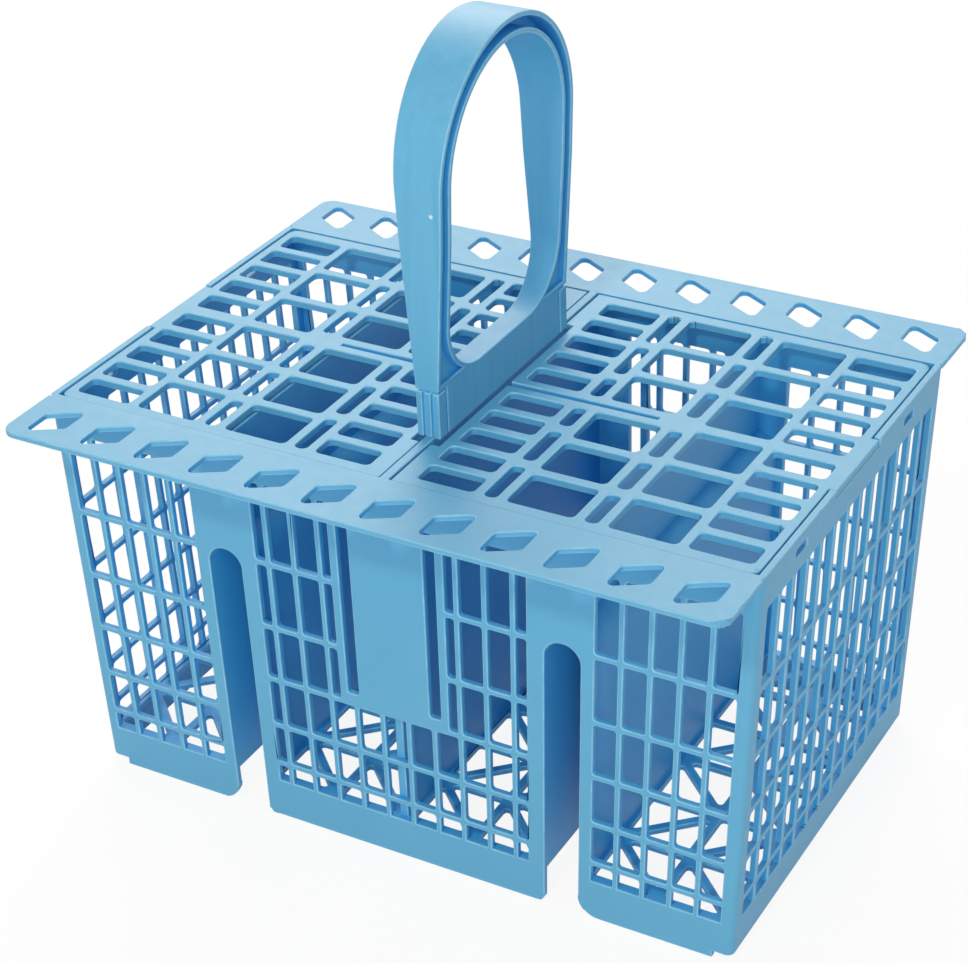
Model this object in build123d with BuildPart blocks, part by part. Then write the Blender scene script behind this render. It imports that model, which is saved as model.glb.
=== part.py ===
import os
from math import hypot

from build123d import *

# Lengths in mm. X runs along the basket, Y across it and Z up from the resting plane.

# Body shell
rim_length = 245.0
base_length = 231.0
body_width = 141.0
rim_height = 140.0
wall = 2.2
corner_radius = 2.5
floor_height = 12.5
floor_thickness = 2.0
end_foot_lift = 2.5
end_foot_width = 6.5
centre_skirt_radius = 3.0
side_skirt_radius = 7.0

# Flanges along the long sides
flange_width = 190.0
flange_thickness = 2.0
flange_corner_radius = 5.0
hole_pitch = 20.0
hole_half_width = 5.6
hole_margin = 3.3
hole_lean = 3.25

# Lattice of the walls; long-side positions are given at the rim and lean in with the taper,
# and the rows of windows share the height between top band and floor in proportion to row_parts
bar = 1.9
bar_pitch = 9.75
top_band = 12.5
row_parts = (28.75, 23.8, 20.2, 18.0, 15.2, 7.05)
side_post = 5.0
end_post = 5.9
panel_half = 20.4
panel_rows = 3
panel_slot = (13.3, 17.4)
panel_slot_margins = (1.5, 4.9)

# Latch windows of the end walls
latch_offset = 42.0
latch_width = 8.0
latch_opening = 2.6
latch_drop = 5.4

# Arched channels and dividers
channel_offset = 60.75
channel_width = 12.3
channel_drop = 40.0
channel_flat = 0.1
channel_inner_margin = 6.1
channel_outer_margin = 4.6
divider = 1.8
divider_gap = 0.4
bridge = 3.0

# Floor ribs
floor_rib = 3.0
floor_rows = 6
floor_columns = 2

# Lids
lid_thickness = 2.5
lid_sink = 0.3
lid_gap = 0.5
lid_inner_gap = 0.6
lid_corner_radius = 3.0
lid_end_margin = 3.0
lid_side_margin = 4.4
lid_inner_margin = 6.2
lid_bar = 3.2
lid_row_bar = 3.4
lid_slot_bar = 4.2
outer_cell = 20.2
inner_cell = 19.2
slot_cell = 4.4
tongue_half = 16.5
tongue_inset = 0.2
slit_length = 55.0
slit_mouth = 2.4
slit_tip = 1.6
swing_gap = 0.35
pin_radius = 1.0
pin_clearance = 0.05
pin_reach = 2.2
pin_end_gap = 0.3

# Handle
handle_height = 121.0
handle_half = 41.5
handle_depth = 6.8
foot_half = 4.0
foot_height = 16.0
waist_half = 7.1
waist_height = 63.0
grip_half = 9.4
loop_corner_radius = 20.0
lip = 1.7
web_half = 2.4
seam_drop = 0.6
seam_width = 0.7
seam_depth = 0.7
tang_depth = 5.0
tang_groove = 1.5
clip_height = 9.0
clip_end_wall = 3.5
clip_clearance = 0.05
foot_gap = 1.0
foot_end_gap = 2.5

# Overlap that makes joined features one solid
bite = 0.6

# Derived sizes
rim_half = rim_length / 2
base_half = base_length / 2
wall_y = body_width / 2
inner_y = wall_y - wall
flange_y = flange_width / 2
taper = (rim_length - base_length) / rim_length
floor_top = floor_height + floor_thickness
window_top = rim_height - top_band
row_unit = (window_top - floor_top) / sum(row_parts)
bar_heights = [window_top - row_unit * sum(row_parts[:n]) for n in range(1, len(row_parts))]
panel_low = bar_heights[panel_rows - 1] - bar / 2
channel_top = rim_height - channel_drop
channel_edges = (channel_offset - channel_width / 2, channel_offset + channel_width / 2)
centre_half = channel_edges[0] - channel_inner_margin
side_field = (channel_edges[1] + channel_outer_margin, rim_half - side_post)
end_half = wall_y - end_post
lid_top = rim_height - lid_sink
lid_bottom = lid_top - lid_thickness
lid_half = inner_y - lid_gap
lid_inner = bridge / 2 + lid_inner_gap
lid_notch = foot_half + foot_gap
pivot_x = grip_half + lid_thickness / 2 + swing_gap
pivot_z = (lid_top + lid_bottom) / 2
handle_top = rim_height + handle_height
arch_spring = handle_top - handle_half
loop_half = handle_half - handle_depth
loop_bottom = rim_height + foot_height
seam_height = loop_bottom - seam_drop
tang_y = handle_half - tang_depth
clip_half = tang_y - clip_end_wall


def fan(x, z):
    """X at height z of a feature that stands at x at the rim."""
    return x * (1 - taper * (1 - z / rim_height))


def lean(x0, x1, z0, z1):
    """Corners of an upright strip of the long walls, leaning in with the taper."""
    return ((fan(x0, z0), z0), (fan(x1, z0), z0), (fan(x1, z1), z1), (fan(x0, z1), z1))


def shell(z0, z1, inset):
    """Corners of the lengthwise section of the body between two heights."""
    low = fan(rim_half, z0) - inset
    high = fan(rim_half, z1) - inset
    return ((-low, z0), (low, z0), (high, z1), (-high, z1))


def bar_places(x0, x1):
    """Middles of the bars that share a window field evenly at about the bar pitch."""
    count = max(2, round((x1 - x0 + bar) / bar_pitch))
    step = (x1 - x0 + bar) / count
    return [x0 - bar / 2 + n * step for n in range(1, count)]


def long_wall_windows():
    """Window fields of a long wall, less the bars and the bare panel that stand in them."""
    fields = (side_field, (-centre_half, centre_half), (-side_field[1], -side_field[0]))
    for x0, x1 in fields:
        Polygon(*lean(x0, x1, floor_top, window_top), align=None)
    side_bars = bar_places(*side_field)
    centre_bars = [(n + 0.5) * bar_pitch for n in range(round(centre_half / bar_pitch))]
    for place in side_bars + centre_bars:
        for x in (-place, place):
            Polygon(*lean(x - bar / 2, x + bar / 2, 0, rim_height), align=None, mode=Mode.SUBTRACT)
    for z in bar_heights:
        Polygon(*lean(-rim_half, rim_half, z - bar / 2, z + bar / 2), align=None, mode=Mode.SUBTRACT)
    Polygon(*lean(-panel_half, panel_half, panel_low, rim_height), align=None, mode=Mode.SUBTRACT)
    slot_low = panel_low + panel_slot_margins[1]
    slot_high = window_top - panel_slot_margins[0]
    Polygon(*lean(panel_slot[0], panel_slot[1], slot_low, slot_high), align=None)
    Polygon(*lean(-panel_slot[1], -panel_slot[0], slot_low, slot_high), align=None)


def end_wall_windows():
    """Window field of an end wall less its bars, with the latch windows and the lid notch."""
    with Locations((0, (floor_top + window_top) / 2)):
        Rectangle(2 * end_half, window_top - floor_top)
    for y in bar_places(-end_half, end_half):
        with Locations((y, rim_height / 2)):
            Rectangle(bar, rim_height, mode=Mode.SUBTRACT)
    for z in bar_heights:
        with Locations((0, z)):
            Rectangle(2 * wall_y, bar, mode=Mode.SUBTRACT)
    with Locations((-latch_offset, rim_height - latch_drop), (latch_offset, rim_height - latch_drop)):
        Rectangle(latch_width, latch_opening)
    with Locations((0, lid_bottom + lid_thickness)):
        Rectangle(2 * (tongue_half + lid_gap), 2 * lid_thickness)


def channel_profile(grow, low):
    """Both arched channel profiles, widened by a wall where grow is set."""
    with BuildSketch() as profile:
        for side in (-1, 1):
            x0, x1 = sorted(side * edge for edge in channel_edges)
            points = lean(x0, x1, low, channel_top + grow)
            shifts = (-grow, grow, grow, -grow)
            Polygon(*((x + shift, z) for (x, z), shift in zip(points, shifts)), align=None)
        crown = fan(channel_width, channel_top) / 2 + grow - channel_flat
        fillet(profile.vertices().group_by(Axis.Y)[-1], crown)
    return profile.sketch


def flange_hole(side):
    """Slanted hole of a flange, mirrored from one long side to the other."""
    reach = (flange_y - wall_y) / 2 - hole_margin
    near = reach - 2 * hole_lean
    with BuildSketch() as hole:
        Polygon(
            (-hole_half_width, side * reach),
            (hole_half_width, side * near),
            (hole_half_width, -side * reach),
            (-hole_half_width, -side * near),
            align=None,
        )
    return hole.sketch


def floor_cells(x0, x1):
    """Triangular openings of one compartment floor: rectangles with one diagonal rib each."""
    cell_x = (x1 - x0) / floor_columns
    cell_y = 2 * inner_y / floor_rows
    tri_x = cell_x - floor_rib
    tri_y = cell_y - floor_rib
    diagonal = hypot(tri_x, tri_y)
    leg_x = tri_x - floor_rib / 2 * diagonal / tri_y
    leg_y = tri_y - floor_rib / 2 * diagonal / tri_x
    for row, turn in ((-0.5, 1), (0.5, -1)):
        for side in (1, -1):
            x = side * turn * tri_x / 2
            y = side * tri_y / 2
            with Locations(((x0 + x1) / 2, row * cell_y)):
                with GridLocations(cell_x, 2 * cell_y, floor_columns, floor_rows // 2):
                    Polygon((x, y), (x - side * turn * leg_x, y), (x, y - side * leg_y), align=None)


def loop_outline(grow):
    """Finger opening of the handle in the YZ plane, grown outward on every side."""
    half = loop_half + grow
    low = loop_bottom - grow
    with BuildSketch() as loop:
        with BuildLine():
            Polyline((half, arch_spring), (half, low), (-half, low), (-half, arch_spring))
            ThreePointArc((-half, arch_spring), (0, arch_spring + half), (half, arch_spring))
        make_face()
        fillet(loop.vertices().group_by(Axis.Y)[0], loop_corner_radius + grow)
    return loop.sketch


def arch_outline(inset, low):
    """Outer outline of the handle in the YZ plane, drawn in by the inset."""
    half = handle_half - inset
    with BuildSketch() as arch:
        with BuildLine():
            Polyline((half, arch_spring), (half, low), (-half, low), (-half, arch_spring))
            ThreePointArc((-half, arch_spring), (0, arch_spring + half), (half, arch_spring))
        make_face()
    return arch.sketch


# Planes on the outer faces of the walls, each with its second direction pointing up the wall
slope = rim_half - base_half
front_face = Plane(origin=(0, -wall_y, 0), x_dir=(1, 0, 0), z_dir=(0, -1, 0))
rear_face = Plane(origin=(0, wall_y, 0), x_dir=(-1, 0, 0), z_dir=(0, 1, 0))
right_face = Plane(origin=(base_half, 0, 0), x_dir=(0, 1, 0), z_dir=(rim_height, 0, -slope))
left_face = Plane(origin=(-base_half, 0, 0), x_dir=(0, -1, 0), z_dir=(-rim_height, 0, -slope))

channel_outer = channel_profile(wall, floor_height)
channel_inner = channel_profile(0, -wall)
rear_hole = flange_hole(1)
front_hole = flange_hole(-1)

with BuildPart() as basket_body:
    # Tapered shell, open at the top, with the hollow under its floor
    with BuildSketch(Plane.XZ):
        Polygon(*shell(0, rim_height, 0), align=None)
    extrude(amount=wall_y, both=True)
    uprights = basket_body.edges().filter_by(lambda edge: abs(edge.tangent_at(0.5).Z) > 0.9)
    fillet(uprights, corner_radius)
    with BuildSketch(Plane.XZ):
        Polygon(*shell(floor_top, rim_height + wall, wall), align=None)
        Polygon(*shell(-wall, floor_height, wall), align=None)
    extrude(amount=inner_y, both=True, mode=Mode.SUBTRACT)

    # Arched channels, dividers and the bridge between the lids
    with BuildSketch(Plane.XZ):
        add(channel_outer)
        for x in (-channel_offset, channel_offset):
            Polygon(*lean(x - divider / 2, x + divider / 2, channel_top, lid_bottom - divider_gap), align=None)
        with Locations((0, (floor_height + rim_height) / 2)):
            Rectangle(bridge, rim_height - floor_height)
    extrude(amount=inner_y + bite, both=True)
    with BuildSketch(Plane.XZ):
        add(channel_inner)
    extrude(amount=wall_y + wall, both=True, mode=Mode.SUBTRACT)

    # Rounded corners of the skirt beside the channels, and the raised feet of the end walls
    skirt_middle = fan(channel_offset, 0)
    skirt_corners = basket_body.edges().filter_by(Axis.Y).filter_by(
        lambda edge: abs(edge.center().Z) < bite and abs(abs(edge.center().X) - skirt_middle) < channel_width
    )
    fillet(skirt_corners.filter_by(lambda edge: abs(edge.center().X) < skirt_middle), centre_skirt_radius)
    skirt_corners = basket_body.edges().filter_by(Axis.Y).filter_by(
        lambda edge: abs(edge.center().Z) < bite and 0 < abs(edge.center().X) - skirt_middle < channel_width
    )
    fillet(skirt_corners, side_skirt_radius)
    with BuildSketch(Plane.XZ):
        with Locations((-base_half, 0), (base_half, 0)):
            Rectangle(2 * end_foot_width, 2 * end_foot_lift)
    extrude(amount=wall_y + wall, both=True, mode=Mode.SUBTRACT)

    # Flanges with their slanted holes
    with BuildSketch(Plane.XY.offset(rim_height - flange_thickness)) as flanges:
        root_y = wall_y - bite
        with Locations((0, -(flange_y + root_y) / 2), (0, (flange_y + root_y) / 2)):
            Rectangle(rim_length, flange_y - root_y)
        outer_corners = flanges.vertices().filter_by(lambda vertex: abs(vertex.Y) > flange_y - bite)
        fillet(outer_corners, flange_corner_radius)
        for side, hole in ((-1, front_hole), (1, rear_hole)):
            with Locations((0, side * (flange_y + wall_y) / 2)):
                with GridLocations(hole_pitch, 0, int(rim_length / hole_pitch), 1):
                    add(hole, mode=Mode.SUBTRACT)
    extrude(amount=flange_thickness)

    # Rib that the handle clips over, and blind sockets for the lid pins
    with BuildSketch(Plane.XY.offset(rim_height - bite)):
        Rectangle(bridge, 2 * clip_half)
    extrude(amount=clip_height + bite)
    with BuildSketch(Plane.XZ):
        with Locations((-pivot_x, pivot_z), (pivot_x, pivot_z)):
            Rectangle(2 * (pin_radius + pin_clearance), 2 * (pin_radius + pin_clearance))
    extrude(amount=lid_half + pin_reach + pin_end_gap, both=True, mode=Mode.SUBTRACT)

    # Triangulated floor
    with BuildSketch(Plane.XY.offset(floor_height)):
        floor_inner = fan(channel_edges[0], floor_top) - wall
        floor_outer = fan(channel_edges[1], floor_top) + wall
        floor_end = fan(rim_half, floor_height) - wall
        for x0, x1 in ((bridge / 2, floor_inner), (floor_outer, floor_end)):
            floor_cells(x0, x1)
            floor_cells(-x1, -x0)
    extrude(amount=floor_thickness, mode=Mode.SUBTRACT)

    # Lattice of the long walls and of the end walls
    with BuildSketch(front_face, rear_face):
        long_wall_windows()
    extrude(amount=-wall, mode=Mode.SUBTRACT)
    with BuildSketch(right_face, left_face):
        end_wall_windows()
    extrude(amount=-wall, mode=Mode.SUBTRACT)

basket_body.part.label = "basket_body"

# Lid cells by column, from the end wall inward: width, first edge beside the mid-line, bar, row shares
lid_outer = fan(rim_half, lid_bottom) - wall - lid_gap
lid_run = lid_outer - lid_end_margin - lid_inner - lid_inner_margin
large_cell = (lid_run - outer_cell - inner_cell - 2 * slot_cell - 5 * lid_bar) / 2
lid_columns = (
    (outer_cell, 2.8, lid_row_bar, (1, 1, 1, 1, 1)),
    (large_cell, 2.2, lid_row_bar, (1, 1, 1)),
    (slot_cell, 5.0, lid_slot_bar, (1, 1, 1)),
    (large_cell, 4.4, lid_row_bar, (1, 1, 1)),
    (slot_cell, 4.4, lid_slot_bar, (0.62, 0.98, 1)),
    (inner_cell, 4.6, lid_row_bar, (1, 1, 1, 1, 1)),
)

with BuildPart() as right_lid:
    with BuildSketch(Plane.XY.offset(lid_bottom)) as grid:
        with Locations(((lid_inner + lid_outer) / 2, 0)):
            Rectangle(lid_outer - lid_inner, 2 * lid_half)
        fillet(grid.vertices().group_by(Axis.X)[-1], lid_corner_radius)
        tongue_end = fan(rim_half, lid_bottom) - tongue_inset
        with Locations(((lid_outer + tongue_end - bite) / 2, 0)):
            Rectangle(tongue_end - lid_outer + bite, 2 * tongue_half)
        with Locations((lid_inner, 0)):
            Rectangle(2 * (lid_notch - lid_inner), 2 * (handle_half + foot_end_gap), mode=Mode.SUBTRACT)
        x1 = lid_outer - lid_end_margin
        for width, first, rib, shares in lid_columns:
            clear = lid_half - lid_side_margin - first - rib * (len(shares) - 1)
            y0 = first
            for share in shares:
                length = clear * share / sum(shares)
                with Locations((x1 - width / 2, y0 + length / 2), (x1 - width / 2, -y0 - length / 2)):
                    Rectangle(width, length, mode=Mode.SUBTRACT)
                y0 += length + rib
            x1 -= width + lid_bar
        Polygon(
            (lid_inner, -slit_mouth / 2),
            (lid_inner + slit_length, -slit_tip / 2),
            (lid_inner + slit_length, slit_tip / 2),
            (lid_inner, slit_mouth / 2),
            align=None,
            mode=Mode.SUBTRACT,
        )
    extrude(amount=lid_thickness)
    for side in (-1, 1):
        with BuildSketch(Plane.XZ.offset(side * (lid_half - bite))):
            with Locations((pivot_x, pivot_z)):
                Circle(pin_radius)
        extrude(amount=side * (pin_reach + bite))

right_lid.part.label = "right_lid"

with BuildPart() as left_lid:
    add(right_lid.part, rotation=(0, 0, 180))

left_lid.part.label = "left_lid"

loop_opening = loop_outline(0)
loop_band = loop_outline(lip)
arch_face = arch_outline(0, rim_height)
arch_core = arch_outline(lip, loop_bottom + lip)

with BuildPart() as handle:
    # Closed arch with its foot, flared from the foot to the grip
    with BuildSketch(Plane.YZ):
        add(arch_face)
        add(loop_opening, mode=Mode.SUBTRACT)
    extrude(amount=2 * grip_half, both=True)
    with BuildSketch(Plane.XZ):
        with BuildLine():
            Polyline(
                (foot_half, rim_height),
                (foot_half, loop_bottom),
                (waist_half, rim_height + waist_height),
                (grip_half, handle_top),
                (-grip_half, handle_top),
                (-waist_half, rim_height + waist_height),
                (-foot_half, loop_bottom),
                (-foot_half, rim_height),
                close=True,
            )
        make_face()
    extrude(amount=handle_half + bite, both=True, mode=Mode.INTERSECT)

    # Side recesses that leave an I section of two bands and a web
    for side in (-1, 1):
        with BuildSketch(Plane.YZ.offset(side * web_half)):
            add(arch_core)
            add(loop_band, mode=Mode.SUBTRACT)
        extrude(amount=side * 2 * grip_half, mode=Mode.SUBTRACT)

    # Seam round each tang and the grooves down its faces
    with BuildSketch(Plane.XY.offset(seam_height)):
        with Locations((0, -tang_y - tang_depth), (0, tang_y + tang_depth)):
            Rectangle(4 * foot_half, 2 * tang_depth)
        Rectangle(2 * (foot_half - seam_depth), 2 * (handle_half - seam_depth), mode=Mode.SUBTRACT)
    extrude(amount=seam_width, mode=Mode.SUBTRACT)
    with BuildSketch(Plane.XY.offset(rim_height)):
        for y in (-handle_half, handle_half):
            with Locations((-tang_groove, y), (tang_groove, y)):
                Rectangle(seam_width, 2 * seam_depth)
        for y in (-tang_y, tang_y):
            with Locations((-foot_half, y), (foot_half, y)):
                Rectangle(2 * seam_depth, seam_width)
    extrude(amount=seam_height - rim_height, mode=Mode.SUBTRACT)

    # Pocket that clips over the rib of the bridge
    with BuildSketch(Plane.XY.offset(rim_height)):
        Rectangle(bridge + 2 * clip_clearance, 2 * (clip_half + clip_clearance))
    extrude(amount=clip_height + clip_clearance, mode=Mode.SUBTRACT)

handle.part.label = "handle"

os.makedirs("parts", exist_ok=True)
export_step(basket_body.part, "parts/basket_body.step")
export_step(handle.part, "parts/handle.step")
export_step(left_lid.part, "parts/left_lid.step")
export_step(right_lid.part, "parts/right_lid.step")
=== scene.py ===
"""Looks of a cutlery basket with two hinged grille lids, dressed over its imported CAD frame.

Every size is in metres, in the frame of the CAD model, with Z up and the front facing -Y.
"""

from __future__ import annotations

import logging
from collections.abc import Iterable
from dataclasses import dataclass
from enum import Enum
from math import cos, pi, radians, sin, tan

import bmesh
import bpy
from mathutils import Matrix, Vector

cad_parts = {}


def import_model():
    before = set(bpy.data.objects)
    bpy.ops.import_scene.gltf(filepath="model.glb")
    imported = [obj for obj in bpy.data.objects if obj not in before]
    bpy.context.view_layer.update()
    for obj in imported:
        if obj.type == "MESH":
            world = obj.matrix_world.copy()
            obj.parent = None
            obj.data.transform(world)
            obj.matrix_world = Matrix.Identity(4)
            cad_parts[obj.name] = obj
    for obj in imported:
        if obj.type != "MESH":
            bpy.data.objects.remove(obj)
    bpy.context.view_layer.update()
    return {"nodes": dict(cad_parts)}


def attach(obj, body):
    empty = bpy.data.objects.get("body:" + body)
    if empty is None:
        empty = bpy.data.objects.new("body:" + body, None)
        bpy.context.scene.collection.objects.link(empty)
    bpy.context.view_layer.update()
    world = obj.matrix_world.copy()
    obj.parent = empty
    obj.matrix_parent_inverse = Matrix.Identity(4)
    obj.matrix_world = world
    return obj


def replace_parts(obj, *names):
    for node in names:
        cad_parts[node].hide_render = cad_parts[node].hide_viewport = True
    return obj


LOG = logging.getLogger("cutlery_basket")
MM = 0.001
# Marks the rounded edges for a paler colour, partly worn by rubbing and partly a painted highlight
WEAR_AND_HIGHLIGHT_LAYER = "edge_wear_and_highlight"
# A face whose area over its longest edge is under this is a sliver with an unsteady normal
SLIVER_WIDTH = 0.03 * MM
# An edge that turns by more than this shows as a line
LINE_TURN = radians(50)
Point = tuple[float, float, float]
Rgba = tuple[float, float, float, float]


def linear(hex_colour: str) -> Rgba:
    """Turns an sRGB hex colour into linear light.

    Args:
        hex_colour: a colour written as #RRGGBB.

    Returns:
        The red, green, blue and opacity that a shader socket takes.
    """
    shares = [int(hex_colour[at : at + 2], 16) / 255 for at in (1, 3, 5)]
    red, green, blue = (c / 12.92 if c <= 0.04045 else ((c + 0.055) / 1.055) ** 2.4 for c in shares)
    return red, green, blue, 1.0


def add_node(
    tree: bpy.types.NodeTree,
    kind: str,
    settings: dict[str, object] | None = None,
    values: dict[str | int, object] | None = None,
    links: dict[str | int, bpy.types.NodeSocket] | None = None,
) -> bpy.types.Node:
    """Adds one node to a tree.

    Args:
        tree: the tree that gets the node.
        kind: Blender's type name of the node.
        settings: properties of the node itself.
        values: input sockets with a constant value.
        links: input sockets with the output that feeds each.

    Returns:
        The new node.
    """
    node = tree.nodes.new(kind)
    for name, value in (settings or {}).items():
        setattr(node, name, value)
    for socket, value in (values or {}).items():
        node.inputs[socket].default_value = value
    for socket, source in (links or {}).items():
        tree.links.new(source, node.inputs[socket])
    return node


def width_of(face: bmesh.types.BMFace) -> float:
    """Gives the area of a face over its longest edge, as a measure of its width."""
    return face.calc_area() / max(edge.calc_length() for edge in face.edges)


class Side(Enum):
    """The side of the handle that a lid is on."""

    LEFT = "left_lid"
    RIGHT = "right_lid"


@dataclass(frozen=True)
class MouldedPolypropylene:
    """Polypropylene dyed in the melt and moulded in fine-blasted steel.

    The dye gives one sky blue right through. The blasted steel leaves a satin face with a broad
    pale sheen and a fine grain, and the melt leaves slow drifts of shade. Faces hemmed in by the
    moulding get a painted shade, a deeper and more saturated blue in place of the light that
    bounces about in the hollows, and edges go a little paler, partly worn by rubbing and partly a
    painted highlight.
    """

    name: str
    colour: str = "#529DC3"
    drift_colour: str = "#5CA5C9"
    # Painted shade: faces hemmed in by the moulding take this deeper, more saturated blue in place
    # of bounced light
    painted_shade_colour: str = "#2CA0E2"
    # The moulding puts painted shade on a face from within this distance
    painted_shade_reach: float = 95 * MM
    # The open share of a face at or below which its painted shade is full, and the one at which it
    # is gone
    painted_shade_range: tuple[float, float] = (0.3, 0.85)
    painted_shade_rays: int = 2
    # Edges go paler, partly worn by rubbing and partly a painted highlight along every rounding
    rubbed_and_highlight_colour: str = "#98CEE6"
    rubbed_and_highlight_share: float = 0.45
    roughness: tuple[float, float] = (0.42, 0.54)
    refraction: float = 1.49
    gloss: float = 0.45
    drift_size: float = 38 * MM
    # The melt is drawn out along Z where this is well under 1
    drift_draw: float = 1.0
    drift_detail: float = 3.0
    drift_swirl: float = 0.8
    mottle_size: float = 4.5 * MM
    mottle_detail: float = 4.0
    # The mottle's mean, so that an edge gets its full share of the paler edge colour on average
    mottle_mean: float = 0.5
    # The blasted grain is about 0.1 mm, too fine to show, so it is drawn coarser
    grain_size: float = 0.7 * MM
    grain_depth: float = 0.02 * MM
    grain_detail: float = 2.0
    grain_strength: float = 0.5
    # A pale nick in the face, where the moulding has one
    nick_place: Point | None = None
    nick_radius: float = 0.85 * MM
    nick_core: float = 0.425 * MM
    nick_colour: str = "#B9DAE7"

    def material(self) -> bpy.types.Material:
        """Makes the finish.

        Returns:
            A material with the shade, the sheen and the grain of the moulding.
        """
        material = bpy.data.materials.new(self.name)
        material.use_nodes = True
        tree = material.node_tree
        tree.nodes.clear()
        place = add_node(tree, "ShaderNodeTexCoord").outputs["Object"]
        noise = "ShaderNodeTexNoise"
        drawn = add_node(
            tree,
            "ShaderNodeMapping",
            values={"Scale": (1.0, 1.0, self.drift_draw)},
            links={"Vector": place},
        )
        drift = add_node(
            tree,
            noise,
            values={
                "Scale": 1 / self.drift_size,
                "Detail": self.drift_detail,
                "Distortion": self.drift_swirl,
            },
            links={"Vector": drawn.outputs["Vector"]},
        )
        mottle = add_node(
            tree,
            noise,
            values={"Scale": 1 / self.mottle_size, "Detail": self.mottle_detail},
            links={"Vector": place},
        )
        grain = add_node(
            tree,
            noise,
            values={"Scale": 1 / self.grain_size, "Detail": self.grain_detail},
            links={"Vector": place},
        )
        shade = add_node(
            tree,
            "ShaderNodeMix",
            {"data_type": "RGBA"},
            {"A": linear(self.colour), "B": linear(self.drift_colour)},
            {"Factor": drift.outputs["Fac"]},
        )
        # Painted shade: the less open a face is to the moulding round it, the more of the deeper
        # blue it takes
        openness = add_node(
            tree,
            "ShaderNodeAmbientOcclusion",
            {"samples": self.painted_shade_rays, "only_local": True},
            {"Distance": self.painted_shade_reach},
        )
        painted_shade_factor = add_node(
            tree,
            "ShaderNodeMapRange",
            values={"From Min": self.painted_shade_range[0], "From Max": self.painted_shade_range[1]},
            links={"Value": openness.outputs["AO"]},
        )
        with_painted_shade = add_node(
            tree,
            "ShaderNodeMix",
            {"data_type": "RGBA"},
            {"A": linear(self.painted_shade_colour)},
            {"Factor": painted_shade_factor.outputs["Result"], "B": shade.outputs["Result"]},
        )
        # Painted highlight along the rounded edges, partly also worn paleness, broken up by the
        # mottle
        wear_and_highlight = add_node(tree, "ShaderNodeAttribute", {"attribute_name": WEAR_AND_HIGHLIGHT_LAYER})
        rub_and_highlight = add_node(
            tree,
            "ShaderNodeMath",
            {"operation": "MULTIPLY"},
            links={0: wear_and_highlight.outputs["Fac"], 1: mottle.outputs["Fac"]},
        )
        rub_and_highlight_share = add_node(
            tree,
            "ShaderNodeMath",
            {"operation": "MULTIPLY"},
            {1: self.rubbed_and_highlight_share / self.mottle_mean},
            {0: rub_and_highlight.outputs[0]},
        )
        rubbed_and_highlit = add_node(
            tree,
            "ShaderNodeMix",
            {"data_type": "RGBA"},
            {"B": linear(self.rubbed_and_highlight_colour)},
            {"Factor": rub_and_highlight_share.outputs[0], "A": with_painted_shade.outputs["Result"]},
        )
        satin = add_node(
            tree,
            "ShaderNodeMapRange",
            values={"To Min": self.roughness[0], "To Max": self.roughness[1]},
            links={"Value": mottle.outputs["Fac"]},
        )
        relief = add_node(
            tree,
            "ShaderNodeBump",
            values={"Strength": self.grain_strength, "Distance": self.grain_depth},
            links={"Height": grain.outputs["Fac"]},
        )
        skin = add_node(
            tree,
            "ShaderNodeBsdfPrincipled",
            values={"IOR": self.refraction, "Specular IOR Level": self.gloss},
            links={
                "Base Color": self.nicked(tree, place, rubbed_and_highlit.outputs["Result"]),
                "Roughness": satin.outputs["Result"],
                "Normal": relief.outputs["Normal"],
            },
        )
        add_node(tree, "ShaderNodeOutputMaterial", links={"Surface": skin.outputs["BSDF"]})
        return material

    def nicked(
        self, tree: bpy.types.NodeTree, place: bpy.types.NodeSocket, shade: bpy.types.NodeSocket
    ) -> bpy.types.NodeSocket:
        """Lays the nick over the shade of the plastic.

        Args:
            tree: the tree that gets the nodes.
            place: the place on the moulding.
            shade: the shade without the nick.

        Returns:
            The shade with the nick, or as it was where there is none.
        """
        if self.nick_place is None:
            return shade
        distance = add_node(
            tree,
            "ShaderNodeVectorMath",
            {"operation": "DISTANCE"},
            {1: self.nick_place},
            {0: place},
        )
        share = add_node(
            tree,
            "ShaderNodeMapRange",
            values={"From Min": self.nick_radius, "From Max": self.nick_core},
            links={"Value": distance.outputs["Value"]},
        )
        mixed = add_node(
            tree,
            "ShaderNodeMix",
            {"data_type": "RGBA"},
            {"B": linear(self.nick_colour)},
            {"Factor": share.outputs["Result"], "A": shade},
        )
        return mixed.outputs["Result"]


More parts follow.
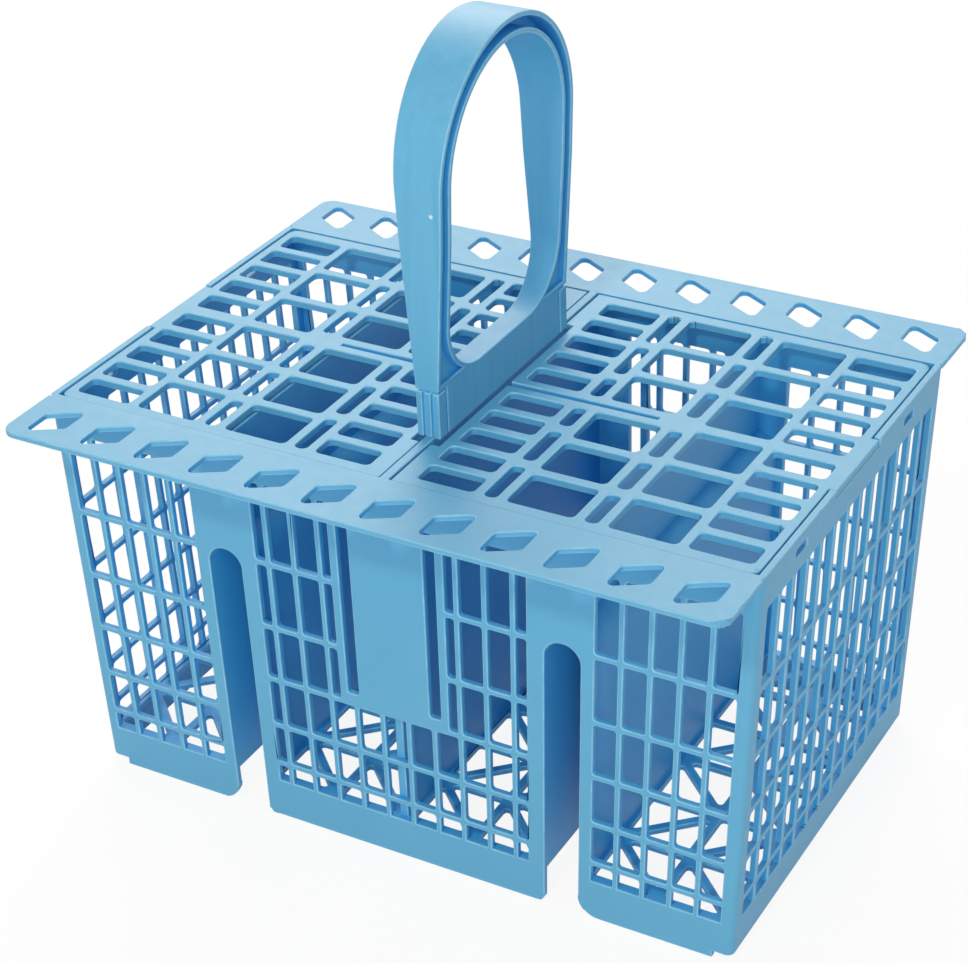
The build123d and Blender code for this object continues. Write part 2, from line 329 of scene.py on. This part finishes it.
@dataclass(frozen=True)
class MouldedEdges:
    """The small radii that a worn mould and a rubbed moulding have along their edges."""

    radius: float = 0.42 * MM
    segments: int = 2
    # A profile of one half is a quarter circle
    profile: float = 0.5
    least_turn: float = radians(35)
    weld: float = 0.002 * MM
    # A face narrower than this many radii keeps its sharp edge
    room: float = 1.3
    # Blender's number for the material of the faces beside the rounding
    material_slot: int = -1

    def skin_of(self, node: bpy.types.Object) -> bmesh.types.BMesh:
        """Copies the faces of a CAD node as a clean skin.

        Args:
            node: the CAD node.

        Returns:
            Its shape with the corners of its faces joined and its edges and faces numbered.
        """
        skin = bmesh.new()
        skin.from_mesh(node.data)
        skin.faces.layers.float.new(WEAR_AND_HIGHLIGHT_LAYER)
        bmesh.ops.remove_doubles(skin, verts=skin.verts, dist=self.weld)
        skin.edges.index_update()
        skin.faces.index_update()
        return skin

    @staticmethod
    def reach(face: bmesh.types.BMFace, edge: bmesh.types.BMEdge) -> float:
        """Measures how far a face reaches from one of its edges.

        Args:
            face: the face.
            edge: one of its edges.

        Returns:
            The distance of its furthest corner from the line of that edge.
        """
        start = edge.verts[0].co
        along = (edge.verts[1].co - start).normalized()
        arms = (corner.co - start for corner in face.verts)
        return max((arm - along * arm.dot(along)).length for arm in arms)

    def sharp_edges(self, skin: bmesh.types.BMesh) -> list[bmesh.types.BMEdge]:
        """Finds the outer edges that have room for the radius.

        Args:
            skin: the shape.

        Returns:
            The edges found.
        """
        return [
            edge
            for edge in skin.edges
            if len(edge.link_faces) == 2
            and edge.is_convex
            and edge.calc_face_angle() > self.least_turn
            and min(self.reach(face, edge) for face in edge.link_faces) > self.room * self.radius
        ]

    def soften(self, skin: bmesh.types.BMesh) -> None:
        """Rounds every outer edge that has room for it and marks the rounding, which gets a paler
        colour that is partly worn by rubbing and partly a painted highlight.

        Args:
            skin: the shape, which is changed.
        """
        wear_and_highlight = skin.faces.layers.float[WEAR_AND_HIGHLIGHT_LAYER]
        rounding = bmesh.ops.bevel(
            skin,
            geom=self.sharp_edges(skin),
            offset=self.radius,
            offset_type="OFFSET",
            segments=self.segments,
            profile=self.profile,
            affect="EDGES",
            clamp_overlap=False,
            loop_slide=False,
            material=self.material_slot,
            face_strength_mode="ALL",
        )
        # The rounding faces get the paler edge colour: partly worn, partly a painted highlight
        for face in rounding["faces"]:
            face[wear_and_highlight] = 1.0


@dataclass(frozen=True)
class Opening:
    """One opening straight through a plate: its inner faces and its two rims, corner by corner."""

    faces: list[bmesh.types.BMFace]
    front: list[bmesh.types.BMVert]
    back: list[bmesh.types.BMVert]


@dataclass(frozen=True)
class OpeningCorners:
    """The radii in the corners of the windows, cells and holes that a mould's pins leave."""

    wall_radius: float = 0.9 * MM
    plate_radius: float = 1.7 * MM
    tip_radius: float = 1.0 * MM
    segments: int = 3
    thickest_plate: float = 2.7 * MM
    least_turn: float = radians(25)
    flat_turn: float = radians(1)
    # How far the plate's own corner point moves back from the rim, clear of the rim's rounding,
    # and the shares of that way that are tried until no face turns over
    set_back: float = 0.6 * MM
    step_shares: tuple[float, ...] = (1.0, 0.6, 0.3)
    least_match: float = 0.9
    # An arc takes at most this share of a rim's side
    longest_share: float = 0.45
    # A plate is level where its openings run at least this much along Z
    level_share: float = 0.9
    fewest_corners: int = 3
    slack: float = 0.01 * MM

    def corner_edges(self, skin: bmesh.types.BMesh) -> list[bmesh.types.BMEdge]:
        """Finds the inner corner edges that run through a plate.

        Args:
            skin: the shape.

        Returns:
            The edges found.
        """
        return [
            edge
            for edge in skin.edges
            if len(edge.link_faces) == 2
            and not edge.is_convex
            and edge.calc_face_angle() > self.least_turn
            and edge.calc_length() < self.thickest_plate
        ]

    def inner_faces(
        self, start: bmesh.types.BMEdge, corners: set[bmesh.types.BMEdge]
    ) -> set[bmesh.types.BMFace]:
        """Collects the faces inside an opening.

        Args:
            start: a corner edge of the opening.
            corners: every corner edge of the shape.

        Returns:
            The faces that go round from that edge within the thickness of the plate.
        """
        axis = (start.verts[1].co - start.verts[0].co).normalized()
        ends = sorted(corner.co.dot(axis) for corner in start.verts)
        found: set[bmesh.types.BMFace] = set()
        waiting = list(start.link_faces)
        while waiting:
            face = waiting.pop()
            depths = [corner.co.dot(axis) for corner in face.verts]
            outside = min(depths) < ends[0] - self.slack or max(depths) > ends[1] + self.slack
            if face in found or outside:
                continue
            found.add(face)
            for edge in face.edges:
                if len(edge.link_faces) != 2:
                    continue
                if edge in corners or edge.calc_face_angle() < self.flat_turn:
                    waiting.extend(edge.link_faces)
        return found

    @staticmethod
    def edges_of(faces: Iterable[bmesh.types.BMFace]) -> list[bmesh.types.BMEdge]:
        """Lists the edges of some faces, each once and in the order of their numbers."""
        return sorted({edge for face in faces for edge in face.edges}, key=lambda edge: edge.index)

    def opening_at(
        self, start: bmesh.types.BMEdge, corners: set[bmesh.types.BMEdge]
    ) -> Opening | None:
        """Reads the opening that a corner edge belongs to.

        Args:
            start: a corner edge of the opening.
            corners: every corner edge of the shape.

        Returns:
            The opening, or None where the faces don't close into a ring.
        """
        faces = self.inner_faces(start, corners)
        axis = start.verts[1].co - start.verts[0].co
        partners: dict[bmesh.types.BMVert, bmesh.types.BMVert] = {}
        rims: list[frozenset[bmesh.types.BMVert]] = []
        for edge in self.edges_of(faces):
            inside = sum(face in faces for face in edge.link_faces)
            if inside == 1:
                rims.append(frozenset(edge.verts))
            elif edge in corners:
                low, high = sorted(edge.verts, key=lambda corner: corner.co.dot(axis))
                partners[high] = low
        beside = {
            corner: [other for rim in rims if corner in rim for other in rim - {corner}]
            for corner in partners
        }
        ring = all(len(pair) == 2 and set(pair) <= set(partners) for pair in beside.values())
        if len(partners) < self.fewest_corners or not ring:
            return None
        first = next(iter(partners))
        front = [first, beside[first][0]]
        while front[-1] is not first:
            one, two = beside[front[-1]]
            front.append(two if one is front[-2] else one)
        front.pop()
        back = [partners[corner] for corner in front]
        closed = all(frozenset(pair) in rims for pair in zip(back, back[1:] + back[:1]))
        if not closed or len(front) != len(partners):
            return None
        return Opening(sorted(faces, key=lambda face: face.index), front, back)

    def arcs(
        self,
        skin: bmesh.types.BMesh,
        rim: list[bmesh.types.BMVert],
        radius: float,
        rounded: list[bool],
    ) -> list[bmesh.types.BMVert]:
        """Rounds the corners of one rim.

        Args:
            skin: the shape, which gets the points of the arcs and the plate behind them.
            rim: the corners of the rim, in order.
            radius: the radius of the corners.
            rounded: which corners get the radius.

        Returns:
            The points of the new rim, in order.
        """
        count = len(rim)
        places = [corner.co.copy() for corner in rim]
        spans: list[tuple[Vector, Vector, float, float]] = []
        for n, place in enumerate(places):
            before = places[n - 1] - place
            after = places[(n + 1) % count] - place
            half = before.angle(after) / 2
            longest = self.longest_share * min(before.length, after.length)
            span = min(radius / tan(half), longest)
            spans.append((before.normalized(), after.normalized(), half, span))
        ends: list[list[bmesh.types.BMVert]] = [[corner, corner] for corner in rim]
        for n, corner in enumerate(rim):
            following = (n + 1) % count
            edge = skin.edges.get((corner, rim[following]))
            left = (places[following] - places[n]).length
            if rounded[n]:
                ends[n][1] = bmesh.utils.edge_split(edge, corner, spans[n][3] / left)[1]
                left -= spans[n][3]
            if rounded[following]:
                other = rim[following]
                share = spans[following][3] / left
                ends[following][0] = bmesh.utils.edge_split(edge, other, share)[1]
        points: list[bmesh.types.BMVert] = []
        for n, corner in enumerate(rim):
            if not rounded[n]:
                points.append(corner)
                continue
            before, after, half, span = spans[n]
            middle = places[n] + (before + after).normalized() * (span / cos(half))
            first = ends[n][0].co - middle
            last = ends[n][1].co - middle
            sweep = pi - 2 * half
            arc = [ends[n][0]]
            for step in range(1, self.segments):
                share = step / self.segments
                arm = (first * sin((1 - share) * sweep) + last * sin(share * sweep)) / sin(sweep)
                arc.append(skin.verts.new(middle + arm))
            arc.append(ends[n][1])
            for one, two in zip(arc, arc[1:]):
                skin.faces.new((corner, one, two))
            self.draw_back(corner, (before + after).normalized() * (self.set_back / sin(half)))
            points.extend(arc)
        return points

    def draw_back(self, corner: bmesh.types.BMVert, step: Vector) -> None:
        """Moves a corner point of a plate back from its opening, as far as no face turns over.

        Args:
            corner: the point.
            step: the way into the opening, which it moves against.
        """
        place = corner.co.copy()
        for face in corner.link_faces:
            face.normal_update()
        normals = {
            face: face.normal.copy()
            for face in corner.link_faces
            if width_of(face) > SLIVER_WIDTH
        }
        for share in self.step_shares:
            corner.co = place - step * share
            for face in normals:
                face.normal_update()
            if all(face.normal.dot(normal) > self.least_match for face, normal in normals.items()):
                return
        corner.co = place

    def is_flat(self, corner: bmesh.types.BMVert) -> bool:
        """Tells whether the faces at a corner lie in one plane.

        Args:
            corner: the corner.

        Returns:
            True where they do.
        """
        first, *others = [face.normal for face in corner.link_faces]
        return all(first.angle(normal) < self.flat_turn for normal in others)

    def radius_of(self, opening: Opening) -> float:
        """Picks the radius of an opening's corners.

        Args:
            opening: the opening.

        Returns:
            The radius of a three-cornered hole, a hole in a level plate or a window in a wall.
        """
        if len(opening.front) == self.fewest_corners:
            return self.tip_radius
        through = (opening.front[0].co - opening.back[0].co).normalized()
        return self.plate_radius if abs(through.z) > self.level_share else self.wall_radius

    def round_off(self, skin: bmesh.types.BMesh) -> int:
        """Rounds the corners of every opening of a shape.

        Args:
            skin: the shape, which is changed.

        Returns:
            The number of openings.
        """
        starts = self.corner_edges(skin)
        corners = set(starts)
        openings: list[Opening] = []
        seen: set[bmesh.types.BMEdge] = set()
        for start in starts:
            if start not in seen:
                opening = self.opening_at(start, corners)
                seen.add(start)
                if opening:
                    openings.append(opening)
                    seen.update(self.edges_of(opening.faces))
        for opening in openings:
            radius = self.radius_of(opening)
            inner = self.edges_of(opening.faces)
            bmesh.ops.delete(skin, geom=opening.faces, context="FACES_ONLY")
            loose = [edge for edge in inner if not edge.link_faces]
            bmesh.ops.delete(skin, geom=loose, context="EDGES")
            rounded = [
                self.is_flat(one) and self.is_flat(two)
                for one, two in zip(opening.front, opening.back)
            ]
            front = self.arcs(skin, opening.front, radius, rounded)
            back = self.arcs(skin, opening.back, radius, rounded)
            for n in range(len(front)):
                skin.faces.new((front[n - 1], front[n], back[n], back[n - 1]))
        bmesh.ops.recalc_face_normals(skin, faces=skin.faces)
        return len(openings)


def mark_lines(skin: bmesh.types.BMesh) -> None:
    """Marks the edges that show as lines, and leaves the rest of the skin smooth.

    Args:
        skin: the shape.
    """
    for face in skin.faces:
        face.smooth = True
    sound = {face for face in skin.faces if width_of(face) > SLIVER_WIDTH}
    for edge in skin.edges:
        clear = len(edge.link_faces) == 2 and sound.issuperset(edge.link_faces)
        edge.smooth = not (clear and edge.calc_face_angle() > LINE_TURN)


def dressed(skin: bmesh.types.BMesh, name: str, finish: bpy.types.Material) -> bpy.types.Object:
    """Turns a finished skin into an object with its material.

    Args:
        skin: the shape, which is used up.
        name: the name of the piece.
        finish: its material.

    Returns:
        The new object, with shading that keeps its flat faces flat.
    """
    mark_lines(skin)
    mesh = bpy.data.meshes.new(name)
    skin.to_mesh(mesh)
    skin.free()
    mesh.materials.append(finish)
    piece = bpy.data.objects.new(name, mesh)
    bpy.context.scene.collection.objects.link(piece)
    flat_faces = piece.modifiers.new("flat faces", "WEIGHTED_NORMAL")
    flat_faces.keep_sharp = True
    flat_faces.use_face_influence = True
    return piece


@dataclass(frozen=True)
class BasketBody:
    """The open basket: lattice walls, ribbed floor, compartments, channels and pierced flanges."""

    finish: MouldedPolypropylene = MouldedPolypropylene("polypropylene_basket_moulded")
    corners: OpeningCorners = OpeningCorners()
    edges: MouldedEdges = MouldedEdges()
    node: str = "basket_body"
    body: str = "basket"
    slot: str = "body_plastic"

    def build(self, nodes: dict[str, bpy.types.Object]) -> bpy.types.Object:
        """Builds and dresses the basket.

        Args:
            nodes: the CAD nodes by name.

        Returns:
            The piece that stands for the CAD node.
        """
        skin = self.edges.skin_of(nodes[self.node])
        LOG.info("basket openings: %d", self.corners.round_off(skin))
        self.edges.soften(skin)
        piece = dressed(skin, "basket_moulding", self.finish.material())
        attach(piece, self.body)
        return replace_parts(piece, self.node)


@dataclass(frozen=True)
class CarryHandle:
    """The arched handle that is clipped to the bridge between the lids."""

    finish: MouldedPolypropylene = MouldedPolypropylene(
        "polypropylene_handle_moulded",
        drift_colour="#64AED3",
        drift_size=3.0 * MM,
        drift_draw=0.04,
        nick_place=(4.4 * MM, -41.5 * MM, 214 * MM),
    )
    edges: MouldedEdges = MouldedEdges()
    node: str = "handle"
    body: str = "basket"
    slot: str = "handle_plastic"

    def build(self, nodes: dict[str, bpy.types.Object]) -> bpy.types.Object:
        """Builds and dresses the handle.

        Args:
            nodes: the CAD nodes by name.

        Returns:
            The piece that stands for the CAD node.
        """
        skin = self.edges.skin_of(nodes[self.node])
        self.edges.soften(skin)
        piece = dressed(skin, "handle_moulding", self.finish.material())
        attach(piece, self.body)
        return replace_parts(piece, self.node)


@dataclass(frozen=True)
class GrilleLid:
    """A hinged lid, a flat grille of cells whose corners are round."""

    side: Side
    finish: MouldedPolypropylene
    corners: OpeningCorners = OpeningCorners(plate_radius=1.9 * MM, segments=5)
    edges: MouldedEdges = MouldedEdges()
    slot: str = "lid_plastic"

    def build(self, nodes: dict[str, bpy.types.Object]) -> bpy.types.Object:
        """Builds and dresses the lid.

        Args:
            nodes: the CAD nodes by name.

        Returns:
            The piece that stands for the CAD node.
        """
        skin = self.edges.skin_of(nodes[self.side.value])
        LOG.info("%s openings: %d", self.side.value, self.corners.round_off(skin))
        self.edges.soften(skin)
        piece = dressed(skin, f"{self.side.value}_moulding", self.finish.material())
        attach(piece, self.side.value)
        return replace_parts(piece, self.side.value)


@dataclass(frozen=True)
class Studio:
    """A white sweep, soft light from behind and in front, and a small key lamp above the front."""

    floor_half: float = 4.0
    floor_colour: str = "#F4F4F4"
    white_colour: str = "#FFFFFF"
    white_strength: float = 1.0
    # The rest of the floor's look is its paint, which takes the shadow
    white_share: float = 0.9
    sky: float = 0.49
    sky_colour: str = "#D8EBFF"
    lamp_colour: str = "#FFF0DE"
    back_place: Point = (-0.60, 1.02, 1.02)
    back_size: float = 1.1
    back_power: float = 18.5
    key_place: Point = (0.10, -1.10, 1.30)
    key_size: float = 0.15
    key_power: float = 8.2
    fill_place: Point = (0.62, -1.25, 0.62)
    fill_size: float = 0.6
    fill_power: float = 8.8
    aim: Point = (0.0, 0.0, 0.09)

    def white_rays(self, tree: bpy.types.NodeTree) -> bpy.types.NodeSocket:
        """Finds the rays that see the white of the backdrop.

        Args:
            tree: the tree that gets the nodes.

        Returns:
            A socket that is 1 for camera, glossy and transmission rays.
        """
        path = add_node(tree, "ShaderNodeLightPath").outputs
        largest = {"operation": "MAXIMUM"}
        seen = add_node(
            tree,
            "ShaderNodeMath",
            largest,
            links={0: path["Is Camera Ray"], 1: path["Is Glossy Ray"]},
        )
        every = add_node(
            tree,
            "ShaderNodeMath",
            largest,
            links={0: seen.outputs[0], 1: path["Is Transmission Ray"]},
        )
        return every.outputs[0]

    def floor(self) -> bpy.types.Object:
        """Lays the floor, which is white to the eye and still takes the object's shadow.

        Returns:
            The floor, marked as stage.
        """
        plate = bmesh.new()
        bmesh.ops.create_grid(plate, x_segments=1, y_segments=1, size=self.floor_half)
        mesh = bpy.data.meshes.new("floor")
        plate.to_mesh(mesh)
        plate.free()
        material = bpy.data.materials.new("painted_white_sweep")
        material.use_nodes = True
        tree = material.node_tree
        tree.nodes.clear()
        paint = add_node(tree, "ShaderNodeBsdfDiffuse", values={"Color": linear(self.floor_colour)})
        white = add_node(
            tree,
            "ShaderNodeEmission",
            values={"Color": linear(self.white_colour), "Strength": self.white_strength},
        )
        share = add_node(
            tree,
            "ShaderNodeMath",
            {"operation": "MULTIPLY"},
            {1: self.white_share},
            {0: self.white_rays(tree)},
        )
        mixed = add_node(
            tree,
            "ShaderNodeMixShader",
            links={0: share.outputs[0], 1: paint.outputs[0], 2: white.outputs[0]},
        )
        add_node(tree, "ShaderNodeOutputMaterial", links={"Surface": mixed.outputs[0]})
        mesh.materials.append(material)
        floor = bpy.data.objects.new("floor", mesh)
        bpy.context.scene.collection.objects.link(floor)
        return floor

    def world(self) -> bpy.types.World:
        """Lights the scene evenly from all round.

        Returns:
            The world, white to the eye and a cool grey as light.
        """
        world = bpy.data.worlds.new("white_studio")
        world.use_nodes = True
        tree = world.node_tree
        tree.nodes.clear()
        light = add_node(
            tree,
            "ShaderNodeBackground",
            values={"Color": linear(self.sky_colour), "Strength": self.sky},
        )
        white = add_node(
            tree,
            "ShaderNodeBackground",
            values={"Color": linear(self.white_colour), "Strength": self.white_strength},
        )
        sky = add_node(
            tree,
            "ShaderNodeMixShader",
            links={0: self.white_rays(tree), 1: light.outputs[0], 2: white.outputs[0]},
        )
        add_node(tree, "ShaderNodeOutputWorld", links={"Surface": sky.outputs[0]})
        bpy.context.scene.world = world
        return world

    def softbox(self, name: str, place: Point, size: float, power: float) -> bpy.types.Object:
        """Hangs a square softbox that faces the basket.

        Args:
            name: the name of the lamp.
            place: where its middle is.
            size: the length of its sides.
            power: its power in watts.

        Returns:
            The lamp.
        """
        lamp = bpy.data.lights.new(name, "AREA")
        lamp.shape = "SQUARE"
        lamp.size = size
        lamp.energy = power
        lamp.color = linear(self.lamp_colour)[:3]
        softbox = bpy.data.objects.new(name, lamp)
        softbox.location = place
        away = Vector(place) - Vector(self.aim)
        softbox.rotation_euler = away.to_track_quat("Z", "Y").to_euler()
        bpy.context.scene.collection.objects.link(softbox)
        return softbox

    def build(self) -> None:
        """Sets up the floor, the world and the softboxes."""
        self.floor()
        self.world()
        self.softbox("softbox_back", self.back_place, self.back_size, self.back_power)
        self.softbox("key_lamp", self.key_place, self.key_size, self.key_power)
        self.softbox("softbox_front", self.fill_place, self.fill_size, self.fill_power)


@dataclass(frozen=True)
class PhotoCamera:
    """The camera where the photograph was taken, held slightly askew."""

    aim: Point = (-0.0056, 0.0, 0.1010)
    distance: float = 0.8190
    azimuth: float = radians(30.28)
    elevation: float = radians(30.56)
    roll: float = radians(-2.27)
    lens_mm: float = 94.0
    sensor_mm: float = 36.0

    def build(self) -> bpy.types.Object:
        """Places the camera.

        Returns:
            The scene's camera.
        """
        level = Vector((cos(self.azimuth), sin(self.azimuth), 0.0))
        back = Vector((sin(self.azimuth), -cos(self.azimuth), 0.0)) * cos(self.elevation)
        back.z = sin(self.elevation)
        rise = back.cross(level)
        right = level * cos(self.roll) + rise * sin(self.roll)
        data = bpy.data.cameras.new("photo_camera")
        data.sensor_fit = "HORIZONTAL"
        data.sensor_width = self.sensor_mm
        data.lens = self.lens_mm
        camera = bpy.data.objects.new("photo_camera", data)
        turn = Matrix((right, back.cross(right), back)).transposed()
        place = Matrix.Translation(Vector(self.aim) + back * self.distance)
        camera.matrix_world = place @ turn.to_4x4()
        bpy.context.scene.collection.objects.link(camera)
        bpy.context.scene.camera = camera
        return camera


def main() -> None:
    """Builds the basket's pieces, the studio and the camera."""
    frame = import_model()
    nodes = frame["nodes"]
    lid_finish = MouldedPolypropylene("polypropylene_lid_moulded")
    parts = (
        BasketBody(),
        CarryHandle(),
        GrilleLid(Side.LEFT, lid_finish),
        GrilleLid(Side.RIGHT, lid_finish),
    )
    for part in parts:
        piece = part.build(nodes)
        LOG.info("%s: %d faces", piece.name, len(piece.data.polygons))
    Studio().build()
    PhotoCamera().build()
    bpy.context.scene.view_settings.view_transform = "Standard"


if __name__ == "__main__":
    logging.basicConfig(level=logging.INFO)
    main()
